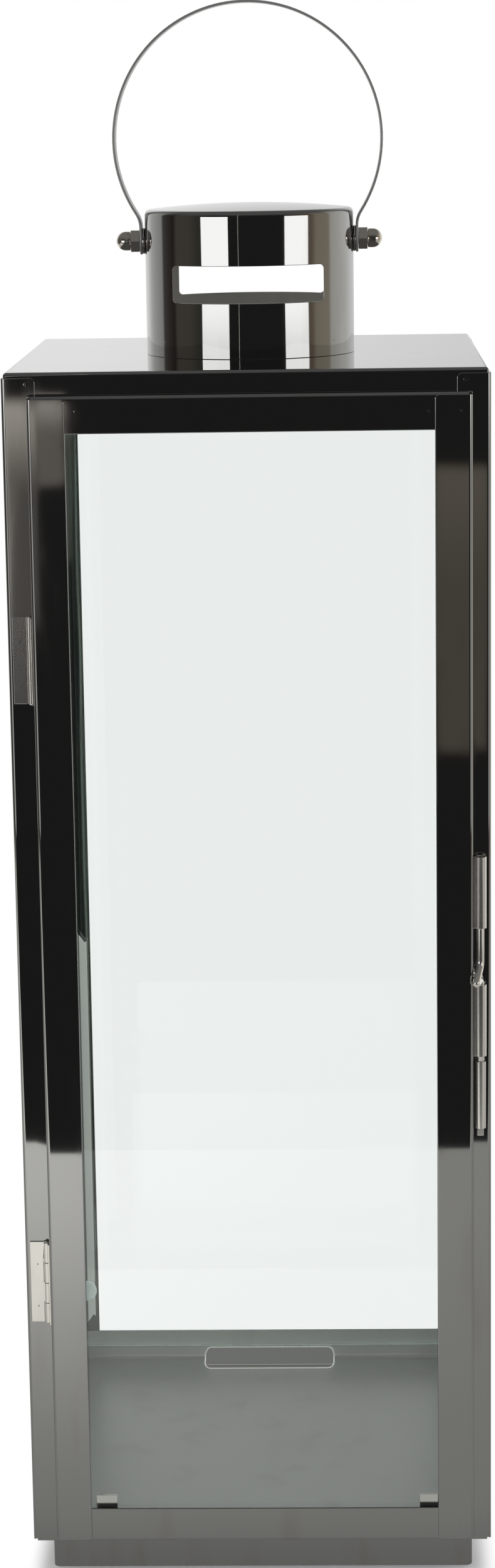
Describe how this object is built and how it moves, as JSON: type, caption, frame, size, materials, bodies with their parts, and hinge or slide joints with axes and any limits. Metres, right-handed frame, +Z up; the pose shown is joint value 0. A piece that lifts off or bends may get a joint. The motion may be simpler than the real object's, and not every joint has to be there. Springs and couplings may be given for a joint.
{
  "type": "lantern floor lamp",
  "caption": "Tall square candle lantern for the floor: folded mirror-bright sheet body, clear glass sides, hinged glass door with slide bolt, vented round chimney and strip carrying handle.",
  "frame": {"origin": "middle of the plinth's underside, on the ground", "axes": "+Z up; the door faces -Y; hinges at -X, slide bolt at +X"},
  "size_m": [0.215, 0.2268, 0.7245],
  "materials": {
    "polished_sheet": "mirror polished, dark reflections",
    "bright_nickel": "bright nickel plate",
    "warm_nickel": "polished nickel plate, slightly warm",
    "clear_glass": "clear float glass with green edges",
    "clear_bumper": "clear soft dot"
  },
  "bodies": {
    "frame": {"roof_pan": "polished_sheet", "post_front_left": "polished_sheet", "post_front_right": "polished_sheet", "post_rear_left": "polished_sheet", "post_rear_right": "polished_sheet", "floor_pan": "polished_sheet", "plinth": "polished_sheet", "glass_left": "clear_glass", "glass_right": "clear_glass", "glass_rear": "clear_glass", "retainer_front_left": "polished_sheet", "retainer_front_right": "polished_sheet", "retainer_rear_left": "polished_sheet", "retainer_rear_right": "polished_sheet", "chimney_tube": "polished_sheet", "chimney_cap": "polished_sheet", "pivot_bolt_left": "warm_nickel", "pivot_bolt_right": "warm_nickel", "spacer_left": "warm_nickel", "spacer_right": "warm_nickel", "cap_nut_left": "warm_nickel", "cap_nut_right": "warm_nickel", "upper_hinge_frame_leaf": "bright_nickel", "lower_hinge_frame_leaf": "bright_nickel", "upper_hinge_pin": "bright_nickel", "lower_hinge_pin": "bright_nickel", "bolt_keeper": "bright_nickel"},
    "door": {"door_stile_hinge": "polished_sheet", "door_stile_latch": "polished_sheet", "door_rail_top": "polished_sheet", "door_rail_bottom": "polished_sheet", "door_glass": "clear_glass", "glass_clips_lower": "bright_nickel", "glass_clips_upper": "bright_nickel", "bumper_dot": "clear_bumper", "upper_hinge_door_leaf": "bright_nickel", "lower_hinge_door_leaf": "bright_nickel", "bolt_sleeve_upper": "bright_nickel", "bolt_sleeve_lower": "bright_nickel"},
    "bolt": {"bolt_rod": "bright_nickel"},
    "handle": {"handle_strip": "polished_sheet"}
  },
  "joints": [
    {"name": "door_swing", "type": "hinge", "parent": "frame", "child": "door", "pos_m": [-0.0974, -0.109, 0.29], "axis": [0, 0, -1], "range_deg": [0, 105]},
    {"name": "bolt_slide", "type": "slide", "parent": "door", "child": "bolt", "axis": [0, 0, 1], "range_m": [0, 0.014]},
    {"name": "handle_swing", "type": "hinge", "parent": "frame", "child": "handle", "pos_m": [0, 0, 0.616], "axis": [1, 0, 0], "range_deg": [-113, 113]}
  ]
}
